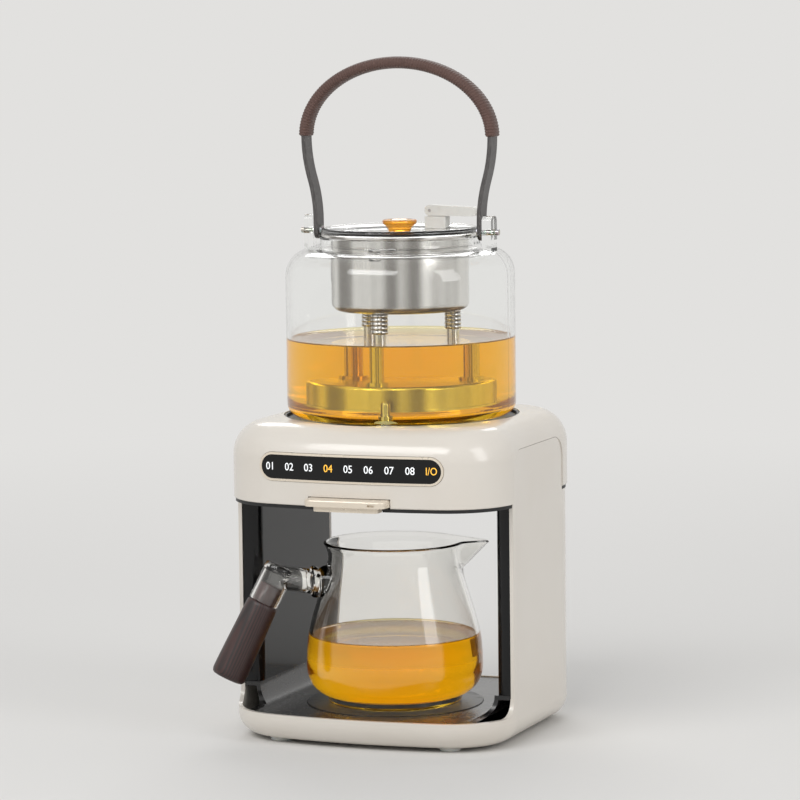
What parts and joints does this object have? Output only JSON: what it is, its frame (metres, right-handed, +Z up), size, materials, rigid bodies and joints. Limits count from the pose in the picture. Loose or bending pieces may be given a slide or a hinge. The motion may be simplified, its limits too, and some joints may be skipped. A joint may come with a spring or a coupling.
{
  "type": "automatic tea maker",
  "caption": "Automatic tea maker: a glass kettle with a steel infuser and bail handle on a heated head with touch keys, above a keep-warm tray with a side-handled glass jug.",
  "frame": {"origin": "on the surface that the machine stands on, straight below the kettle's axis", "axes": "+Z up, -Y towards the front with the touch keys, +X to the right seen from the front"},
  "size_m": [0.1783, 0.1745, 0.3966],
  "materials": {
    "body_ivory": "glossy ivory moulding",
    "rubber_feet": "matte",
    "black_plastic": "satin black moulding",
    "column_black": "gloss black moulding",
    "tray_black": "semi-gloss black",
    "plate_black": "satin black coated aluminium",
    "heater_film": "silicone heater mat",
    "plated_steel": "bright plated",
    "hot_plate_metal": "coated aluminium",
    "sensor_metal": "plain",
    "panel_glass": "high-gloss black lens",
    "champagne": "champagne satin",
    "circuit_board": "green laminate",
    "foam": "conductive foam",
    "wire_cover": "braided sleeve",
    "clear_glass": "clear borosilicate",
    "silicone": "milky silicone",
    "brushed_steel": "fine brushed stainless",
    "bail_metal": "dark satin enamel",
    "grip_cord": "tightly wound brown cord",
    "amber_glass": "amber glass",
    "white_plastic": "white moulding",
    "dark_wood": "oiled dark hardwood"
  },
  "bodies": {
    "machine": {"base_shell": "body_ivory", "feet": "rubber_feet", "bottom_cover": "black_plastic", "cover_screws": "plated_steel", "tray": "tray_black", "warming_plate": "plate_black", "warming_heater": "heater_film", "leg_skin_left": "body_ivory", "leg_skin_right": "body_ivory", "leg_column_left": "column_black", "leg_column_right": "column_black", "head_shell": "body_ivory", "head_floor": "black_plastic", "head_screws": "plated_steel", "seat_ring": "black_plastic", "hot_plate": "hot_plate_metal", "heating_element": "plated_steel", "temperature_sensor": "sensor_metal", "plate_bridge": "plated_steel", "touch_panel": "panel_glass", "panel_bezel": "champagne", "control_board": "circuit_board", "touch_foams": "foam", "power_board": "circuit_board", "power_inlet": "black_plastic", "wiring_harness": "wire_cover", "drain_cup": "black_plastic", "lifter_spring": "plated_steel"},
    "tab": {"release_tab": "champagne"},
    "lifter": {"valve_lifter": "white_plastic"},
    "kettle": {"kettle_glass": "clear_glass", "kettle_lugs": "clear_glass", "valve_seat": "silicone", "bail_pins": "plated_steel"},
    "valve": {"valve_poppet": "brushed_steel"},
    "bail": {"bail_strap": "bail_metal", "bail_grip": "grip_cord"},
    "infuser": {"basket": "brushed_steel", "hood": "brushed_steel", "riser_tubes": "brushed_steel", "riser_ferrules": "brushed_steel", "spray_caps": "brushed_steel"},
    "lid": {"lid_glass": "clear_glass", "lid_knob": "amber_glass", "fill_port": "white_plastic", "lever_pin": "plated_steel"},
    "lever": {"flip_lever": "white_plastic"},
    "jug": {"jug_glass": "clear_glass", "jug_handle": "dark_wood"}
  },
  "joints": [
    {"name": "tab_press", "type": "slide", "parent": "machine", "child": "tab", "axis": [0, 1, 0], "range_m": [0, 0.004], "stiffness_N_per_m": 300, "springref_m": -0.002},
    {"name": "lifter_rise", "type": "slide", "parent": "machine", "child": "lifter", "axis": [0, 0, 1], "range_m": [0, 0.004], "deforming": ["lifter_spring"]},
    {"name": "kettle_lift", "type": "slide", "parent": "machine", "child": "kettle", "axis": [0, 0, 1], "range_m": [0, 0.06]},
    {"name": "valve_open", "type": "slide", "parent": "kettle", "child": "valve", "axis": [0, 0, 1], "range_m": [0, 0.004]},
    {"name": "bail_swing", "type": "hinge", "parent": "kettle", "child": "bail", "pos_m": [0, 0, 0.2943], "axis": [1, 0, 0], "range_deg": [-90, 90]},
    {"name": "infuser_lift", "type": "slide", "parent": "kettle", "child": "infuser", "axis": [0, 0, 1], "range_m": [0, 0.045]},
    {"name": "lid_lift", "type": "slide", "parent": "infuser", "child": "lid", "axis": [0, 0, 1], "range_m": [0, 0.025]},
    {"name": "lever_flip", "type": "hinge", "parent": "lid", "child": "lever", "pos_m": [0.00765, 0.0335, 0.3047], "axis": [0, -1, 0], "range_deg": [0, 70]},
    {"name": "jug_slide", "type": "slide", "parent": "machine", "child": "jug", "axis": [0, -1, 0], "range_m": [0, 0.125]}
  ],
  "couplings": [
    {"joint": "lifter_rise", "follows": "tab_press", "ratio": 1},
    {"joint": "valve_open", "follows": "tab_press", "ratio": 1}
  ]
}
